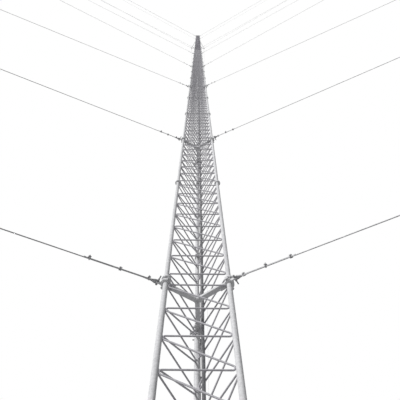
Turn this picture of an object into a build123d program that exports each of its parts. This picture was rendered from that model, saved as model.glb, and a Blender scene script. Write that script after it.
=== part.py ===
from build123d import *
import math
import os

# A guyed lattice radio mast as a 1:10 scale model: the real mast is 96 m tall.
# Lengths are model millimetres: a size of the real mast times scale.
scale = 1 / 10

# Mast body: three tubular legs in stacked sections, with zigzag bar on each face
section_height = 3000 * scale
section_count = 32
face_width = 500 * scale
shaft_leg_radius = 19 * scale
base_leg_radius = 21.2 * scale
leg_wall = 4 * scale
base_section_count = 2
bar_radius = 6.5 * scale
bays_per_section = 7
bay_height = 398 * scale
bend_height = 42 * scale

# Joint flanges between the sections
flange_radius = 38 * scale
flange_thickness = 12 * scale

# Foundation, base plate and top plate
pier_size = 1000 * scale
pier_height = 150 * scale
pier_chamfer = 20 * scale
base_plate_reach = 90 * scale
base_plate_thickness = 25 * scale
top_plate_reach = 60 * scale
top_plate_thickness = 12 * scale

# Guy levels, counted in sections above the second joint, and the ring each is anchored to
guy_levels = [(0, "inner"), (2, "inner"), (5, "inner"), (8, "middle"), (12, "middle"),
              (15, "middle"), (19, "outer"), (24, "outer"), (29, "outer")]
first_guyed_joint = 2
torque_level = 19
ring_radius = {"inner": 17000 * scale, "middle": 42000 * scale, "outer": 66000 * scale}
guy_radius = 4.5 * scale

# Star frame at each guy level, with a collar and a lug on each leg
star_drop = 80 * scale
star_arm_width = 38 * scale
star_arm_height = 30 * scale
star_hub_radius = 26 * scale
collar_radius = 40 * scale
collar_thickness = 30 * scale
lug_reach = 62 * scale
lug_half_width = 18 * scale
lug_thickness = 12 * scale
lug_hole_radius = 9 * scale
lug_root = 12 * scale
lug_offset = 20 * scale
shackle_length = 75 * scale
shackle_width = 26 * scale
shackle_thickness = 22 * scale

# Torque frame: three bars in a triangle outside the collars of one level
torque_bar_size = 30 * scale
torque_standoff = 65.5 * scale
torque_corner_reach = 10 * scale
torque_lug_reach = 40 * scale

# Turnbuckles, fan plates, rods and blocks of the ground anchors
head_height = 600 * scale
hole_pitch = 70 * scale
fan_plate_width = 70 * scale
fan_plate_thickness = 16 * scale
fan_hole_radius = 10 * scale
jaw_length = 90 * scale
jaw_width = 34 * scale
jaw_slot_depth = 55 * scale
jaw_cheek = 6 * scale
turnbuckle_length = 620 * scale
turnbuckle_body_radius = 21 * scale
turnbuckle_body_start = 186 * scale
turnbuckle_body_length = 310 * scale
turnbuckle_rod_radius = 10 * scale
anchor_rod_radius = 18 * scale
block_length = 1200 * scale
block_width = 800 * scale
block_height = 150 * scale

# Feeder cable inside the east face near the north leg, with a clamp arm at each section
cable_place = (46 * scale, 170 * scale)
cable_radius = 12 * scale
cable_start = 300 * scale
clamp_height = 20 * scale
clamp_thickness = 8 * scale

# Fit between pieces that pass each other
clearance = 0.5 * scale

# The star arms and the guys are turned a little from the bearing of their leg
leg_bearing = {"west": 210, "east": 330, "north": 90}
star_turn = -2.5
guy_turn = -1.6
star_bearing = {name: bearing + star_turn for name, bearing in leg_bearing.items()}
guy_bearing = {name: bearing + guy_turn for name, bearing in leg_bearing.items()}
circle_radius = face_width / math.sqrt(3)
torque_bar_offset = circle_radius + torque_standoff
mast_foot = pier_height + base_plate_thickness
mast_height = section_height * section_count


def outward(bearing):
    """Unit vector that points away from the mast at this bearing."""
    return Vector(math.cos(math.radians(bearing)), math.sin(math.radians(bearing)), 0)


leg_axis = {name: outward(bearing) * circle_radius for name, bearing in leg_bearing.items()}


def joint_height(joint):
    return mast_foot + joint * section_height


def level_height(level):
    """Height of the star frame just under the joint that a guy level belongs to."""
    return joint_height(first_guyed_joint + level) - star_drop


def section_leg_radius(section):
    return base_leg_radius if section < base_section_count else shaft_leg_radius


def finish(builder, name):
    builder.part.label = name
    export_step(builder.part, "parts/" + name + ".step")
    print(name, round(builder.part.volume, 1), "mm3")


os.makedirs("parts", exist_ok=True)

# Concrete pier, from the ground up
with BuildPart() as pier:
    with BuildSketch():
        Rectangle(pier_size, pier_size)
    extrude(amount=pier_height)
    chamfer(pier.edges().group_by(Axis.Z)[-1], length=pier_chamfer)
finish(pier, "concrete_pier")

# Triangular base plate under the three legs, with rounded corners
with BuildPart() as base_plate:
    with BuildSketch(Plane.XY.offset(pier_height)):
        RegularPolygon(radius=circle_radius + 2 * base_plate_reach, side_count=3, rotation=90)
        Circle(circle_radius + base_plate_reach, mode=Mode.INTERSECT)
    extrude(amount=base_plate_thickness)
finish(base_plate, "base_plate")


# Leg tubes: one tube a section between the flanges of its joints
def leg_tubes(name, first, last):
    with BuildPart() as tubes:
        for section in range(first, last):
            foot = joint_height(section) + flange_thickness
            with BuildSketch(Plane(origin=leg_axis[name] + Vector(0, 0, foot))):
                Circle(section_leg_radius(section))
                Circle(section_leg_radius(section) - leg_wall, mode=Mode.SUBTRACT)
            extrude(amount=section_height - 2 * flange_thickness)
    return tubes


for leg in leg_axis:
    finish(leg_tubes(leg, 0, base_section_count), leg + "_leg_base")
    finish(leg_tubes(leg, base_section_count, section_count), leg + "_leg_shaft")


# Flanges: the bottom joint has the upper half only, the top joint the lower half only
with BuildPart() as joint_flanges:
    for joint in range(section_count + 1):
        low = joint_height(joint) - (flange_thickness if joint > 0 else 0)
        high = joint_height(joint) + (flange_thickness if joint < section_count else 0)
        for axis in leg_axis.values():
            with BuildSketch(Plane(origin=axis + Vector(0, 0, low))):
                Circle(flange_radius)
            extrude(amount=high - low)
finish(joint_flanges, "joint_flanges")

# Top plate on the last flanges
with BuildPart() as top_plate:
    with BuildSketch(Plane.XY.offset(mast_foot + mast_height)):
        RegularPolygon(radius=circle_radius + 2 * top_plate_reach, side_count=3, rotation=90)
        Circle(circle_radius + top_plate_reach, mode=Mode.INTERSECT)
    extrude(amount=top_plate_thickness)
finish(top_plate, "top_plate")


# Zigzag bracing: one bent bar a section on each face, drawn as a flat strip and thickened
def zigzag_points(half_width):
    """Line of the bent bar: level along each rung, then up a slope to the next rung."""
    first_rung = (section_height - bays_per_section * bay_height) / 2
    points = [(half_width, first_rung)]
    for bay in range(bays_per_section + 1):
        rung = first_rung + bay * bay_height
        points.append((-half_width, rung))
        if bay < bays_per_section:
            points.append((-half_width, rung + bend_height))
            points.append((half_width, rung + bay_height - bend_height))
            points.append((half_width, rung + bay_height))
    return [Vector(x, y, 0) for x, y in points]


def strip_outline(points, half_width):
    """Closed outline of a strip along a line, mitred at the corners."""
    left, right = [], []
    for index, point in enumerate(points):
        before = (point - points[max(index - 1, 0)]).normalized() if index > 0 else None
        after = (points[index + 1] - point).normalized() if index + 1 < len(points) else None
        if before is None or after is None:
            along = after or before
            side = Vector(-along.Y, along.X, 0) * half_width
        else:
            bisector = Vector(-before.Y - after.Y, before.X + after.X, 0).normalized()
            side = bisector * (half_width / bisector.dot(Vector(-after.Y, after.X, 0)))
        left.append(point + side)
        right.append(point - side)
    return left + right[::-1]


def face_bracing(start, end, first, last):
    """Bars of one face, rising from the start leg to the end leg."""
    along = (leg_axis[end] - leg_axis[start]).normalized()
    middle = (leg_axis[end] + leg_axis[start]) * 0.5
    with BuildPart() as bars:
        for section in range(first, last):
            origin = middle + Vector(0, 0, joint_height(section))
            reach = face_width / 2 - section_leg_radius(section) - bar_radius - clearance
            outline = strip_outline(zigzag_points(reach), bar_radius)
            with BuildSketch(Plane(origin=origin, x_dir=along, z_dir=along.cross(Vector(0, 0, 1)))):
                with BuildLine():
                    Polyline([(p.X, p.Y) for p in outline], close=True)
                make_face()
            extrude(amount=bar_radius, both=True)
    return bars


faces = {"south_face": ("east", "west"), "west_face": ("west", "north"), "east_face": ("north", "east")}
middle_joint = section_count // 2
for face, (start_leg, end_leg) in faces.items():
    finish(face_bracing(start_leg, end_leg, 0, middle_joint), face + "_lower_bracing")
    finish(face_bracing(start_leg, end_leg, middle_joint, section_count), face + "_upper_bracing")


# Star frames: three arms from a hub to the collars, at every guy level
with BuildPart() as star_frames:
    arm_end = circle_radius - collar_radius - 2 * clearance
    for level, ring in guy_levels:
        with BuildSketch(Plane.XY.offset(level_height(level) - star_arm_height / 2)):
            Circle(star_hub_radius)
            for bearing in star_bearing.values():
                middle = outward(bearing) * (arm_end / 2)
                with Locations(Location((middle.X, middle.Y), bearing)):
                    Rectangle(arm_end, star_arm_width)
        extrude(amount=star_arm_height)
finish(star_frames, "star_frames")

# Collars: a ring clamped round each leg, with an upright lug that points to the anchors,
# bolted to the clockwise side of the collar
with BuildPart() as leg_collars:
    for level, ring in guy_levels:
        bore = section_leg_radius(first_guyed_joint + level - 1) + clearance
        for name, axis in leg_axis.items():
            centre = axis + Vector(0, 0, level_height(level))
            with BuildSketch(Plane(origin=centre - Vector(0, 0, collar_thickness / 2))):
                Circle(collar_radius)
                Circle(bore, mode=Mode.SUBTRACT)
            extrude(amount=collar_thickness)
            if level == torque_level:
                continue
            way = outward(guy_bearing[name])
            sideways = way.cross(Vector(0, 0, 1))
            with BuildSketch(Plane(origin=centre + sideways * lug_offset, x_dir=way, z_dir=sideways)):
                with Locations(((collar_radius + lug_reach - lug_root) / 2, 0)):
                    Rectangle(lug_reach - collar_radius + lug_root, 2 * lug_half_width)
                with Locations((lug_reach, 0)):
                    Circle(lug_half_width)
                    Circle(lug_hole_radius, mode=Mode.SUBTRACT)
            extrude(amount=lug_thickness / 2, both=True)
finish(leg_collars, "leg_collars")


# Torque frame: a bar square to each leg's bearing, outside its collar, meeting the next at a corner
def torque_eyes(name):
    """The two guy points of a leg, in lugs at the two corners that its own bar ends in."""
    lug = outward(guy_bearing[name]) * torque_lug_reach + Vector(0, 0, level_height(torque_level))
    return [outward(leg_bearing[name] + turn) * (2 * torque_bar_offset) + lug for turn in (-60, 60)]


with BuildPart() as torque_frame:
    with BuildSketch(Plane.XY.offset(level_height(torque_level) - torque_bar_size / 2)):
        RegularPolygon(radius=2 * torque_bar_offset + torque_bar_size, side_count=3, rotation=30)
        Circle(2 * torque_bar_offset + torque_corner_reach, mode=Mode.INTERSECT)
        RegularPolygon(radius=2 * torque_bar_offset - torque_bar_size, side_count=3, rotation=30,
                       mode=Mode.SUBTRACT)
    extrude(amount=torque_bar_size)
    for name in leg_axis:
        way = outward(guy_bearing[name])
        for eye in torque_eyes(name):
            with BuildSketch(Plane(origin=eye, x_dir=way, z_dir=way.cross(Vector(0, 0, 1)))):
                with Locations((-torque_lug_reach / 2, 0)):
                    Rectangle(torque_lug_reach, 2 * lug_half_width)
                Circle(lug_half_width)
                Circle(lug_hole_radius, mode=Mode.SUBTRACT)
            extrude(amount=lug_thickness / 2, both=True)
finish(torque_frame, "torque_frame")


# Guys: where each leaves the mast, and the hole in the fan plate that it runs to
def mast_points(level, name):
    """Eye of each guy of a leg at this level, in the lug of its collar or of the torque frame."""
    if level == torque_level:
        return torque_eyes(name)
    way = outward(guy_bearing[name])
    eye = way * lug_reach + way.cross(Vector(0, 0, 1)) * lug_offset
    return [leg_axis[name] + eye + Vector(0, 0, level_height(level))]


def ring_guys(ring, name):
    """All the guys from one leg to one anchor, as (level, mast point), lowest first."""
    return [(level, point) for level, level_ring in guy_levels if level_ring == ring
            for point in mast_points(level, name)]


def anchor_head(ring, name):
    return outward(guy_bearing[name]) * ring_radius[ring] + Vector(0, 0, head_height)


def pull_direction(ring, name):
    """Mean direction of the guys at an anchor, up towards the mast."""
    head = anchor_head(ring, name)
    total = Vector(0, 0, 0)
    for level, point in ring_guys(ring, name):
        total = total + (point - head).normalized()
    flat = outward(guy_bearing[name]) * total.dot(outward(guy_bearing[name]))
    return (flat + Vector(0, 0, total.Z)).normalized()


def fan_holes(ring, name):
    """Holes of a fan plate, lowest first, in a row square to the mean pull."""
    pull = pull_direction(ring, name)
    sideways = outward(guy_bearing[name]).cross(Vector(0, 0, 1))
    row = pull.cross(sideways).normalized()
    if row.Z < 0:
        row = row * -1
    count = len(ring_guys(ring, name))
    head = anchor_head(ring, name)
    return [head + row * hole_pitch * (index - (count - 1) / 2) for index in range(count)]


def guy_runs(level_wanted):
    """Rope of each guy at a level, from its shackle to its turnbuckle."""
    runs = []
    for name in leg_axis:
        for ring in ring_radius:
            for (level, top), hole in zip(ring_guys(ring, name), fan_holes(ring, name)):
                if level == level_wanted:
                    way = (hole - top).normalized()
                    runs.append((top + way * shackle_length, hole - way * turnbuckle_length))
    return runs


for number, (level, ring) in enumerate(guy_levels, start=1):
    with BuildPart() as guys:
        for start, end in guy_runs(level):
            with BuildSketch(Plane(origin=start, z_dir=end - start)):
                Circle(guy_radius)
            extrude(amount=(end - start).length)
            print("guy level", number, "rope length", round((end - start).length, 1))
    finish(guys, "guys_level_" + str(number))


def along_plane(origin, way, name):
    """Plane square to a guy, with its X level and square to the guy's own upright plane."""
    sideways = outward(guy_bearing[name]).cross(Vector(0, 0, 1))
    sideways = (sideways - way * sideways.dot(way)).normalized()
    return Plane(origin=origin, x_dir=sideways, z_dir=way)


# Shackles between the lugs and the ropes: a fork that straddles the lug
def mast_shackles():
    with BuildPart() as shackles:
        for level, ring in guy_levels:
            for name in leg_axis:
                for (found, top), hole in zip(ring_guys(ring, name), fan_holes(ring, name)):
                    if found != level:
                        continue
                    way = (hole - top).normalized()
                    gap = lug_half_width + clearance
                    with BuildSketch(along_plane(top + way * gap, way, name)):
                        Rectangle(shackle_thickness, shackle_width)
                    extrude(amount=shackle_length - gap)
    return shackles


finish(mast_shackles(), "mast_shackles")


# Turnbuckles: a jaw that straddles the fan plate, a body and a rod on each side of it
def ring_turnbuckles(ring):
    with BuildPart() as turnbuckles:
        for name in leg_axis:
            for (level, top), hole in zip(ring_guys(ring, name), fan_holes(ring, name)):
                way = (top - hole).normalized()
                with BuildSketch(along_plane(hole - way * jaw_width / 2, way, name)):
                    Rectangle(fan_plate_thickness + 2 * jaw_cheek, jaw_width)
                extrude(amount=jaw_length)
                with BuildSketch(along_plane(hole - way * jaw_width, way, name)):
                    Rectangle(fan_plate_thickness + 2 * clearance, 2 * jaw_width)
                extrude(amount=jaw_width + jaw_slot_depth, mode=Mode.SUBTRACT)
                with BuildSketch(along_plane(hole + way * (jaw_length - jaw_width / 2), way, name)):
                    Circle(turnbuckle_rod_radius)
                extrude(amount=turnbuckle_length - jaw_length + jaw_width / 2)
                with BuildSketch(along_plane(hole + way * turnbuckle_body_start, way, name)):
                    Circle(turnbuckle_body_radius)
                extrude(amount=turnbuckle_body_length)
    return turnbuckles


# Fan plates: an upright plate with a hole for each guy
def ring_fan_plates(ring):
    with BuildPart() as plates:
        for name in leg_axis:
            holes = fan_holes(ring, name)
            row = (holes[-1] - holes[0]).normalized()
            sideways = outward(guy_bearing[name]).cross(Vector(0, 0, 1))
            plate = Plane(origin=anchor_head(ring, name), x_dir=row, z_dir=sideways)
            with BuildSketch(plate):
                SlotCenterToCenter((holes[-1] - holes[0]).length, fan_plate_width)
                for hole in holes:
                    with Locations(((hole - anchor_head(ring, name)).dot(row), 0)):
                        Circle(fan_hole_radius, mode=Mode.SUBTRACT)
            extrude(amount=fan_plate_thickness / 2, both=True)
    return plates


def rod_foot(ring, name):
    """Where the line of the anchor rod meets the top of its block."""
    pull = pull_direction(ring, name)
    head = anchor_head(ring, name)
    return head - pull * ((head.Z - block_height) / pull.Z)


# Anchor rods: from the back of the fan plate, too long at first, then cut level on the block
def ring_rods(ring):
    with BuildPart() as rods:
        for name in leg_axis:
            pull = pull_direction(ring, name)
            start = anchor_head(ring, name) - pull * (fan_plate_width / 2 + clearance)
            with BuildSketch(Plane(origin=start, z_dir=pull * -1)):
                Circle(anchor_rod_radius)
            extrude(amount=2 * head_height)
        split(bisect_by=Plane.XY.offset(block_height), keep=Keep.TOP)
    return rods


# Anchor blocks: concrete, lengthwise to the pull
def ring_blocks(ring):
    with BuildPart() as blocks:
        for name in leg_axis:
            foot = rod_foot(ring, name)
            with BuildSketch(Plane(origin=(foot.X, foot.Y, 0), x_dir=outward(guy_bearing[name]))):
                Rectangle(block_length, block_width)
            extrude(amount=block_height)
        chamfer(blocks.edges().group_by(Axis.Z)[-1], length=pier_chamfer)
    return blocks


for ring in ring_radius:
    finish(ring_turnbuckles(ring), ring + "_turnbuckles")
    finish(ring_fan_plates(ring), ring + "_fan_plates")
    finish(ring_rods(ring), ring + "_anchor_rods")
    finish(ring_blocks(ring), ring + "_anchor_blocks")

# Feeder cable from above the base plate to the top section
with BuildPart() as feeder_cable:
    with BuildSketch(Plane.XY.offset(mast_foot + cable_start)):
        with Locations(cable_place):
            Circle(cable_radius)
    extrude(amount=mast_height - 2 * cable_start)
finish(feeder_cable, "feeder_cable")

# Cable clamps: a flat arm from the north leg to the cable, halfway up each section
with BuildPart() as cable_clamps:
    to_cable = (Vector(*cable_place, 0) - leg_axis["north"]).normalized()
    cable_side = Vector(*cable_place, 0) - to_cable * (cable_radius + clearance)
    across = Vector(-to_cable.Y, to_cable.X, 0) * (clamp_thickness / 2)
    for section in range(section_count):
        leg_side = leg_axis["north"] + to_cable * (section_leg_radius(section) + clearance)
        low = joint_height(section) + (section_height - clamp_height) / 2
        corners = [leg_side - across, leg_side + across, cable_side + across, cable_side - across]
        with BuildSketch(Plane.XY.offset(low)):
            with BuildLine():
                Polyline([(corner.X, corner.Y) for corner in corners], close=True)
            make_face()
        extrude(amount=clamp_height)
finish(cable_clamps, "cable_clamps")
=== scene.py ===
import math

import bmesh
import bpy
from mathutils import Matrix, Vector


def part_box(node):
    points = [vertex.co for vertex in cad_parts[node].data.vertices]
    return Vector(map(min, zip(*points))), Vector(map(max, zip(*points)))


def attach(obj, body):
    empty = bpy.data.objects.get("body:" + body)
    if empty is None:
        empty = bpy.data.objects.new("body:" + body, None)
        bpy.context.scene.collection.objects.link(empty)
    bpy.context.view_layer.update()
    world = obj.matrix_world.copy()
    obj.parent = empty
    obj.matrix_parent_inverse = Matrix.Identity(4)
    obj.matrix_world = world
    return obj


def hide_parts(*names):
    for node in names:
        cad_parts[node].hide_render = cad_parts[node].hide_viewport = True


# Guyed lattice radio mast, 1:10. Row frame in metres, foot of the mast at the origin.
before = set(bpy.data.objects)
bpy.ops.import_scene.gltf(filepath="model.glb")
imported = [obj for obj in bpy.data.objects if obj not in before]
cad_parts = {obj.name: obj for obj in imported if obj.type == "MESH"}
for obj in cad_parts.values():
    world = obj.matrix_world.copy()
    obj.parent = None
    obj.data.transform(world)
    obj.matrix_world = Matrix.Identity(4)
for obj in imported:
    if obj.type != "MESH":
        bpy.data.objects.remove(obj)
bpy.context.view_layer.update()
scene = bpy.context.scene
print("frame loaded")

mm = 1e-4  # one millimetre of the real mast
up = Vector((0, 0, 1))

# Where things are, from the CAD nodes
legNames = ("west", "east", "north")
legAt, legRadius = {}, {}
for name in legNames:
    low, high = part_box(name + "_leg_shaft")
    legAt[name] = Vector(((low.x + high.x) / 2, (low.y + high.y) / 2, 0))
    legRadius[name] = (high.x - low.x) / 2
low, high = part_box("west_leg_base")
baseLegRadius = (high.x - low.x) / 2
baseSections = 2
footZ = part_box("base_plate")[1].z
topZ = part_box("top_plate")[0].z
sectionCount = 32
sectionHeight = (topZ - footZ) / sectionCount
faceWidth = (legAt["east"] - legAt["west"]).length
levelCount = 9
ringLevels = {"inner": (1, 2, 3), "middle": (4, 5, 6), "outer": (7, 8, 9)}  # guy levels on each ring of anchors
faces = {"south_face": ("east", "west"), "west_face": ("west", "north"), "east_face": ("north", "east")}


def jointZ(joint):
    return footZ + joint * sectionHeight


def outwardOf(name):
    return legAt[name].normalized()


def nearestLeg(point):
    return min(legNames, key=lambda n: (Vector((point.x, point.y, 0)) - legAt[n]).length)


def solidsOf(node):
    # vertices of each separate solid; vertices in one place count as one
    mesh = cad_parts[node].data
    first, parent = {}, list(range(len(mesh.vertices)))

    def root(i):
        while parent[i] != i:
            parent[i] = parent[parent[i]]
            i = parent[i]
        return i

    for v in mesh.vertices:
        same = first.setdefault(tuple(v.co), v.index)
        parent[root(v.index)] = root(same)
    for e in mesh.edges:
        parent[root(e.vertices[0])] = root(e.vertices[1])
    groups = {}
    for place, index in first.items():
        groups.setdefault(root(index), []).append(Vector(place))
    return list(groups.values())


def middleOf(points):
    total = Vector()
    for p in points:
        total += p
    return total / len(points)


def endsOf(points):
    # middles of the lower and the upper end of a straight bar
    points = sorted(points, key=lambda p: p.z)
    half = len(points) // 2
    return middleOf(points[:half]), middleOf(points[half:])


guys = []
for level in range(1, levelCount + 1):
    for points in solidsOf("guys_level_%d" % level):
        foot, head = endsOf(points)
        guys.append({"level": level, "foot": foot, "head": head, "way": (head - foot).normalized()})
shackleLength = 75 * mm
turnbuckleLength = 620 * mm
for guy in guys:
    guy["eye"] = guy["head"] + guy["way"] * shackleLength
    guy["hole"] = guy["foot"] - guy["way"] * turnbuckleLength
    guy["leg"] = nearestLeg(guy["eye"])
    guy["side"] = guy["way"].cross(up).normalized()
starHeights = sorted(middleOf(points).z for points in solidsOf("star_frames"))
collars = [middleOf(points) for points in solidsOf("leg_collars")]
print("found", len(guys), "guys,", len(starHeights), "star frames,", len(collars), "collars")


# Mesh helpers
def placeAt(origin, zWay, xHint):
    z = zWay.normalized()
    x = (xHint - z * xHint.dot(z)).normalized()
    y = z.cross(x)
    place = Matrix((x, y, z)).transposed().to_4x4()
    place.translation = origin
    return place


def sweep(bm, points, radius, sides):
    # a round bar along a line; its UV has u round it and v along it in metres
    layer = bm.loops.layers.uv.verify()
    rings, gone, side = [], [0.0], None
    for i, p in enumerate(points):
        before, after = points[max(i - 1, 0)], points[min(i + 1, len(points) - 1)]
        along = (after - before).normalized()
        if side is None:
            side = along.orthogonal().normalized()
        side = (side - along * side.dot(along)).normalized()
        other = along.cross(side)
        ring = []
        for k in range(sides):
            a = 2 * math.pi * k / sides
            ring.append(bm.verts.new(p + (side * math.cos(a) + other * math.sin(a)) * radius))
        rings.append(ring)
        if i:
            gone.append(gone[-1] + (p - points[i - 1]).length)
    for i in range(len(rings) - 1):
        for k in range(sides):
            j = (k + 1) % sides
            face = bm.faces.new((rings[i][k], rings[i][j], rings[i + 1][j], rings[i + 1][k]))
            spots = ((k, i), (k + 1, i), (k + 1, i + 1), (k, i + 1))
            for loop, (u, v) in zip(face.loops, spots):
                loop[layer].uv = (u / sides, gone[v])
    bm.faces.new(rings[0][::-1])
    bm.faces.new(rings[-1])


def turned(bm, profile, place, sides):
    # profile of (radius, height), from the axis at the bottom round to the axis at the top
    rings = []
    for radius, height in profile:
        if radius < 1e-8:
            rings.append([bm.verts.new(place @ Vector((0, 0, height)))])
            continue
        ring = []
        for k in range(sides):
            a = 2 * math.pi * k / sides
            ring.append(bm.verts.new(place @ Vector((radius * math.cos(a), radius * math.sin(a), height))))
        rings.append(ring)
    for a, b in zip(rings, rings[1:]):
        for k in range(sides):
            j = (k + 1) % sides
            if len(a) == 1:
                bm.faces.new((a[0], b[j], b[k]))
            elif len(b) == 1:
                bm.faces.new((a[k], a[j], b[0]))
            else:
                bm.faces.new((a[k], a[j], b[j], b[k]))


def slab(bm, outline, low, high, place, edge):
    # convex outline, anticlockwise, with chamfered rims
    count = len(outline)

    def inset(depth):
        points = []
        for i in range(count):
            a, p, b = Vector(outline[i - 1]), Vector(outline[i]), Vector(outline[(i + 1) % count])
            e, f = (p - a).normalized(), (b - p).normalized()
            n, m = Vector((-e.y, e.x)), Vector((-f.y, f.x))
            points.append(p + (n + m) * (depth / (1 + n.dot(m))))
        return points

    rings = []
    for height, depth in ((low, edge), (low + edge, 0), (high - edge, 0), (high, edge)):
        rings.append([bm.verts.new(place @ Vector((p.x, p.y, height))) for p in inset(depth)])
    for a, b in zip(rings, rings[1:]):
        for k in range(count):
            j = (k + 1) % count
            bm.faces.new((a[k], a[j], b[j], b[k]))
    bm.faces.new(rings[0][::-1])
    bm.faces.new(rings[-1])


def block(bm, place, size, edge):
    x, y, z = (s / 2 for s in size)
    slab(bm, [(-x, -y), (x, -y), (x, y), (-x, y)], -z, z, place, edge)


def arc(centre, across, tall, start, end, steps):
    # part of an ellipse, from one share of a turn to another
    turns = (start + (end - start) * i / steps for i in range(steps + 1))
    return [centre + across * math.cos(2 * math.pi * t) + tall * math.sin(2 * math.pi * t) for t in turns]


bendLimits = {"turn": 0.05, "share": 0.48}  # least turn in radians, and how much of a stretch a bend may take


def rounded(points, radius, steps):
    # the corners of a line, turned into short bends
    out = [points[0]]
    for a, p, b in zip(points, points[1:], points[2:]):
        e, f = (p - a), (b - p)
        turn = e.angle(f, 0)
        if turn < bendLimits["turn"]:
            out.append(p)
            continue
        back = min(radius * math.tan(turn / 2), min(e.length, f.length) * bendLimits["share"])
        start, end = p - e.normalized() * back, p + f.normalized() * back
        for i in range(steps + 1):
            t = i / steps
            out.append(start * (1 - t) ** 2 + p * (2 * t * (1 - t)) + end * t * t)
    out.append(points[-1])
    return out


boltShape = {"shoulder": 0.75, "crown": 0.86,  # shares of the height and the radius of a head
             "wide": 1.75, "head": 1.3, "nut": 1.6, "tip": 0.8,  # shares of the radius of the shank
             "thread": 0.9}  # share of the tail


def hexHead(bm, place, radius, height):
    shoulder, crown = height * boltShape["shoulder"], radius * boltShape["crown"]
    turned(bm, [(0, 0), (radius, 0), (radius, shoulder), (crown, height), (0, height)], place, sides=6)


def bolt(bm, place, radius, grip, tail):
    # head on +z, nut and thread end on -z, grip between them
    wide, head, nut, tip = (radius * boltShape[k] for k in ("wide", "head", "nut", "tip"))
    half = grip / 2
    thread = half + tail * boltShape["thread"]
    hexHead(bm, place @ Matrix.Translation((0, 0, half)), wide, head)
    flip = place @ Matrix.Rotation(math.pi, 4, "X")
    hexHead(bm, flip @ Matrix.Translation((0, 0, half)), wide, nut)
    end = half + tail
    turned(bm, [(0, half), (radius, half), (radius, thread), (tip, end), (0, end)], flip, sides=8)


def piece(bm, look):
    mesh = bpy.data.meshes.new(look["name"])
    bm.to_mesh(mesh)
    bm.free()
    for polygon in mesh.polygons:
        polygon.use_smooth = True
    mesh.set_sharp_from_angle(angle=math.radians(look.get("sharp", 35)))
    made = bpy.data.objects.new(look["name"], mesh)
    scene.collection.objects.link(made)
    mesh.materials.append(look["material"])
    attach(made, "root")
    if look.get("replaces"):
        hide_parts(*look["replaces"])
    mesh.calc_loop_triangles()
    print("made", look["name"], len(mesh.loop_triangles))
    return made


# Shader groups
def addNode(tree, kind, inputs=None, **settings):
    node = tree.nodes.new(kind)
    for key, value in settings.items():
        setattr(node, key, value)
    for key, value in (inputs or {}).items():
        if isinstance(value, bpy.types.NodeSocket):
            tree.links.new(value, node.inputs[key])
        else:
            node.inputs[key].default_value = value
    return node


def startGroup(name, inputs, outputs):
    tree = bpy.data.node_groups.new(name, "ShaderNodeTree")
    for label, kind, value in inputs:
        socket = tree.interface.new_socket(label, in_out="INPUT", socket_type=kind)
        socket.default_value = value
    for label, kind in outputs:
        tree.interface.new_socket(label, in_out="OUTPUT", socket_type=kind)
    return tree, tree.nodes.new("NodeGroupInput").outputs, tree.nodes.new("NodeGroupOutput").inputs


floatSocket, colourSocket = "NodeSocketFloat", "NodeSocketColor"


def buildZincGroup():
    # patchy grey of weathered zinc: cloudy mottle, small crystals, runs down the steel
    tree, given, result = startGroup("zincSkin", [
        ("Light", colourSocket, (0.6, 0.6, 0.6, 1)), ("Dark", colourSocket, (0.4, 0.4, 0.4, 1)),
        ("Grain", floatSocket, 300.0), ("Runs", floatSocket, 0.4)],
        [("Color", colourSocket), ("Roughness", floatSocket), ("Height", floatSocket)])
    where = addNode(tree, "ShaderNodeTexCoord").outputs["Object"]
    cloud = addNode(tree, "ShaderNodeTexNoise", {"Vector": where, "Scale": given["Grain"], "Detail": 5.0,
                                                 "Roughness": 0.62})
    fine = addNode(tree, "ShaderNodeMath", {0: given["Grain"], 1: 3.1}, operation="MULTIPLY")
    crystal = addNode(tree, "ShaderNodeTexVoronoi", {"Vector": where, "Scale": fine.outputs[0]})
    tone = addNode(tree, "ShaderNodeSeparateColor", {"Color": crystal.outputs["Color"]})
    tall = addNode(tree, "ShaderNodeMapping", {"Vector": where, "Scale": (1, 1, 0.05)})
    run = addNode(tree, "ShaderNodeTexNoise", {"Vector": tall.outputs[0], "Scale": given["Grain"],
                                               "Detail": 3.0})
    runMask = addNode(tree, "ShaderNodeMapRange", {"Value": run.outputs["Fac"], "From Min": 0.5,
                                                   "From Max": 0.75})
    runPart = addNode(tree, "ShaderNodeMath", {0: runMask.outputs[0], 1: given["Runs"]}, operation="MULTIPLY")
    cloudPart = addNode(tree, "ShaderNodeMapRange", {"Value": cloud.outputs["Fac"], "From Min": 0.3,
                                                     "From Max": 0.72, "To Max": 0.75})
    part = addNode(tree, "ShaderNodeMath", {0: tone.outputs[0], 1: 0.22, 2: cloudPart.outputs[0]},
                   operation="MULTIPLY_ADD")
    total = addNode(tree, "ShaderNodeMath", {0: part.outputs[0], 1: runPart.outputs[0]}, operation="ADD",
                    use_clamp=True)
    colour = addNode(tree, "ShaderNodeMix", {"Factor": total.outputs[0], 6: given["Light"], 7: given["Dark"]},
                     data_type="RGBA")
    rough = addNode(tree, "ShaderNodeMapRange", {"Value": total.outputs[0], "To Min": 0.42, "To Max": 0.68})
    high = addNode(tree, "ShaderNodeMath", {0: tone.outputs[0], 1: 0.3, 2: cloud.outputs["Fac"]},
                   operation="MULTIPLY_ADD")
    tree.links.new(colour.outputs[2], result["Color"])
    tree.links.new(rough.outputs[0], result["Roughness"])
    tree.links.new(high.outputs[0], result["Height"])
    return tree


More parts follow.
